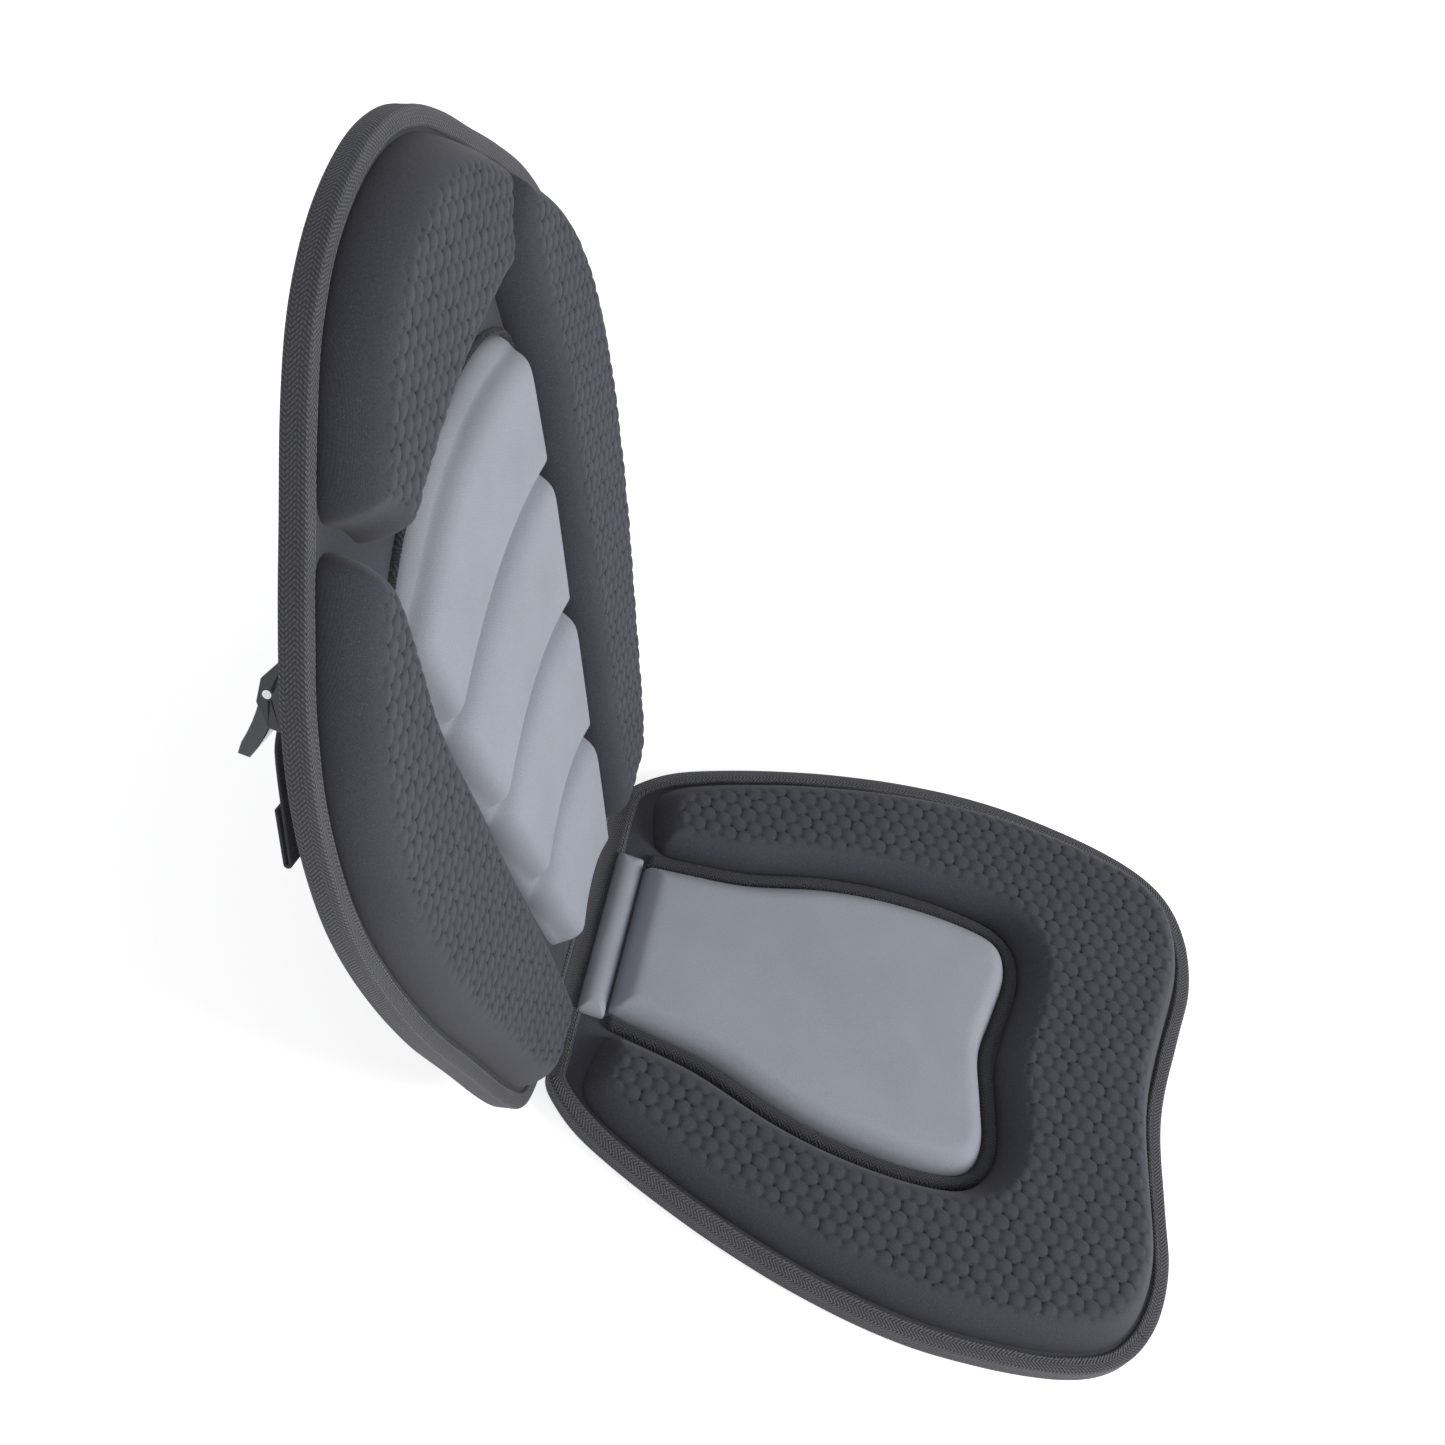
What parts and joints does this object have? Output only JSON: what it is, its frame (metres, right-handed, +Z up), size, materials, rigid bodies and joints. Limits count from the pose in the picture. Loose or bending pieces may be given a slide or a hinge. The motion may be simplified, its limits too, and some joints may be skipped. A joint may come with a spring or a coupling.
{
  "type": "folding padded kayak seat",
  "caption": "Moulded, padded kayak seat with a tall folding back, a ribbed back panel, webbing straps with cam buckles and swivel snap hooks.",
  "frame": {"origin": "on the floor under the middle of the whole seat", "axes": "+X to the sitter's left, +Y to the rear, +Z up; the seat's front faces -Y"},
  "size_m": [0.4046, 0.6014, 0.4826],
  "materials": {
    "charcoal_fabric": "fine stretch knit, moulded with small domes, matt",
    "grey_fabric": "fine woven face cloth, matt",
    "black_cloth": "coarse woven backing cloth",
    "black_binding": "twill binding tape",
    "webbing": "woven polyester webbing",
    "foam": "closed-cell foam",
    "stiffener": "flat plastic sheet",
    "black_plastic": "moulded plastic, glossy",
    "brass": "cast, tumbled",
    "steel": "turned"
  },
  "bodies": {
    "seat": {"seat_edge_binding": "black_binding", "seat_bottom_cover": "black_cloth", "seat_stiffener": "stiffener", "seat_base_foam": "foam", "seat_top_cover": "charcoal_fabric", "seat_pad": "charcoal_fabric", "centre_pad": "grey_fabric", "centre_band": "black_binding", "rear_roll": "grey_fabric", "seat_hinge_tape": "black_binding"},
    "back": {"back_edge_binding": "black_binding", "panel_piping": "black_binding", "back_hinge_tape": "black_binding", "back_rear_cover": "black_cloth", "back_front_cover": "charcoal_fabric", "top_pad": "charcoal_fabric", "side_pad_left": "charcoal_fabric", "side_pad_right": "charcoal_fabric", "back_panel": "grey_fabric", "rib_1": "grey_fabric", "rib_2": "grey_fabric", "rib_3": "grey_fabric", "rib_4": "grey_fabric", "back_base_foam": "foam", "back_stiffener": "stiffener", "upper_anchor_left": "webbing", "upper_strap_left": "webbing", "lower_anchor_left": "webbing", "lower_strap_left": "webbing", "pull_tab_left": "webbing", "buckle_frame_left": "black_plastic", "lever_pin_left": "steel", "swivel_eye_left": "brass", "upper_anchor_right": "webbing", "upper_strap_right": "webbing", "lower_anchor_right": "webbing", "lower_strap_right": "webbing", "pull_tab_right": "webbing", "buckle_frame_right": "black_plastic", "lever_pin_right": "steel", "swivel_eye_right": "brass"},
    "cam_lever_left": {"cam_lever_left": "black_plastic"},
    "hook_left": {"snap_hook_left": "brass", "gate_pin_left": "steel"},
    "gate_left": {"snap_gate_left": "brass"},
    "cam_lever_right": {"cam_lever_right": "black_plastic"},
    "hook_right": {"snap_hook_right": "brass", "gate_pin_right": "steel"},
    "gate_right": {"snap_gate_right": "brass"}
  },
  "joints": [
    {"name": "back_fold", "type": "hinge", "parent": "seat", "child": "back", "pos_m": [0, 0.07054, 0.0118], "axis": [1, 0, 0], "range_deg": [-50, 52]},
    {"name": "cam_lever_open_left", "type": "hinge", "parent": "back", "child": "cam_lever_left", "pos_m": [0.13592, 0.25266, 0.33742], "axis": [0.9135, 0.1719, 0.3686], "range_deg": [0, 100]},
    {"name": "hook_swivel_left", "type": "hinge", "parent": "back", "child": "hook_left", "pos_m": [0.15879, 0.18765, 0.20236], "axis": [0, 0.4226, 0.9063], "continuous": true},
    {"name": "gate_open_left", "type": "hinge", "parent": "hook_left", "child": "gate_left", "pos_m": [0.15054, 0.18765, 0.20236], "axis": [0, 0.9063, -0.4226], "range_deg": [0, 26], "stiffness_Nm_per_rad": 0.02, "springref_deg": -17.19},
    {"name": "cam_lever_open_right", "type": "hinge", "parent": "back", "child": "cam_lever_right", "pos_m": [-0.13592, 0.25266, 0.33742], "axis": [0.9135, -0.1719, -0.3686], "range_deg": [0, 100]},
    {"name": "hook_swivel_right", "type": "hinge", "parent": "back", "child": "hook_right", "pos_m": [-0.15879, 0.18765, 0.20236], "axis": [0, 0.4226, 0.9063], "continuous": true},
    {"name": "gate_open_right", "type": "hinge", "parent": "hook_right", "child": "gate_right", "pos_m": [-0.15054, 0.18765, 0.20236], "axis": [0, -0.9063, 0.4226], "range_deg": [0, 26], "stiffness_Nm_per_rad": 0.02, "springref_deg": -17.19}
  ]
}
